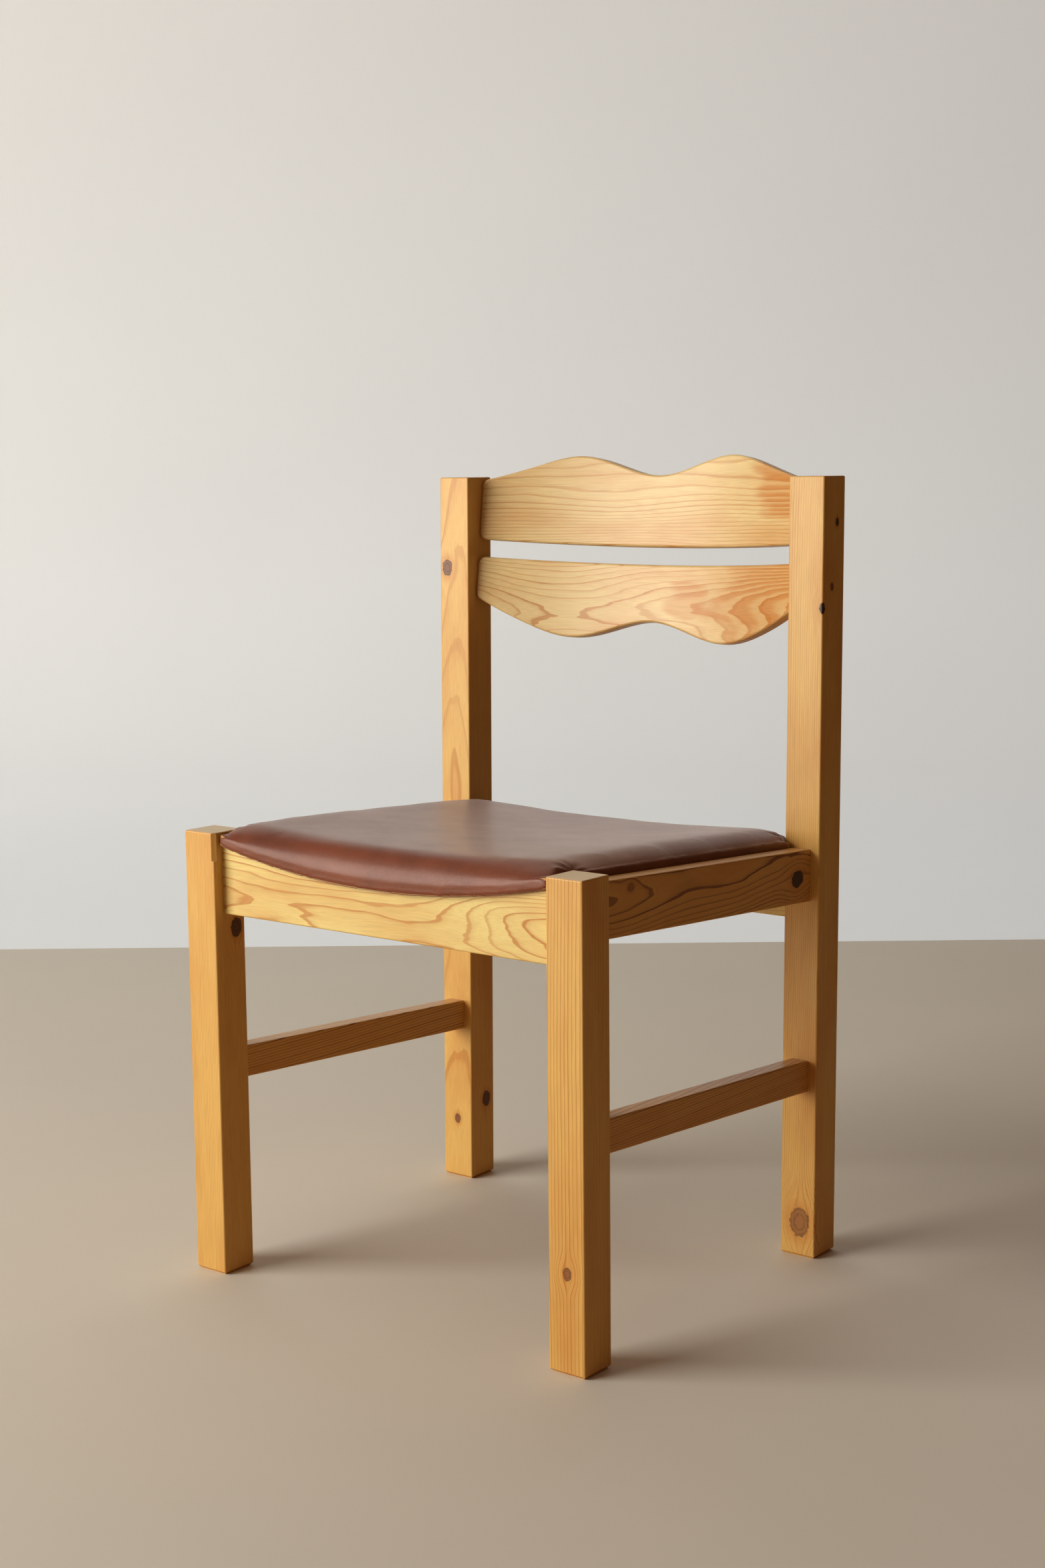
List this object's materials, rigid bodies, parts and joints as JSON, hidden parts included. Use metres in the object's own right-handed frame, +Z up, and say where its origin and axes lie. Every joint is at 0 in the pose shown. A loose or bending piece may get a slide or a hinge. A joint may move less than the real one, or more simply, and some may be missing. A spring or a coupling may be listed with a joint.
{
  "type": "dining chair",
  "caption": "Armless pine dining chair with square legs, sloping side rails, a dished padded leather seat and bowed back slats with waved edges.",
  "frame": {"origin": "on the floor, under the centre of the overall bounding box", "axes": "+Z up, the chair faces -Y, +X to the right when seen from the front; +X/-X halves mirror each other"},
  "size_m": [0.49, 0.4844, 0.8128],
  "materials": {
    "pine": "satin lacquered aged pine",
    "pine_slat": "satin lacquered flat-sawn pine",
    "beech_dowel": "raw turned beech",
    "pine_block": "raw sawn pine",
    "zinc_steel": "zinc plated",
    "plywood": "raw moulded birch plywood",
    "foam": "open-cell polyurethane foam",
    "leather": "smooth semi-gloss brown leather"
  },
  "bodies": {
    "root": {"front_leg_left": "pine", "front_leg_right": "pine", "rear_post_left": "pine", "rear_post_right": "pine", "front_apron": "pine", "rear_apron": "pine", "side_apron_left": "pine", "side_apron_right": "pine", "side_stretcher_left": "pine", "side_stretcher_right": "pine", "upper_back_slat": "pine_slat", "lower_back_slat": "pine_slat", "front_apron_dowels": "beech_dowel", "rear_apron_dowels": "beech_dowel", "side_apron_dowels_left": "beech_dowel", "side_apron_dowels_right": "beech_dowel", "side_stretcher_dowels": "beech_dowel", "corner_block_front_left": "pine_block", "corner_block_front_right": "pine_block", "corner_block_rear_left": "pine_block", "corner_block_rear_right": "pine_block", "corner_block_screws": "zinc_steel", "seat_fixing_screws": "zinc_steel", "seat_board": "plywood", "seat_foam": "foam", "seat_cover": "leather", "cover_staples": "zinc_steel"}
  },
  "joints": []
}
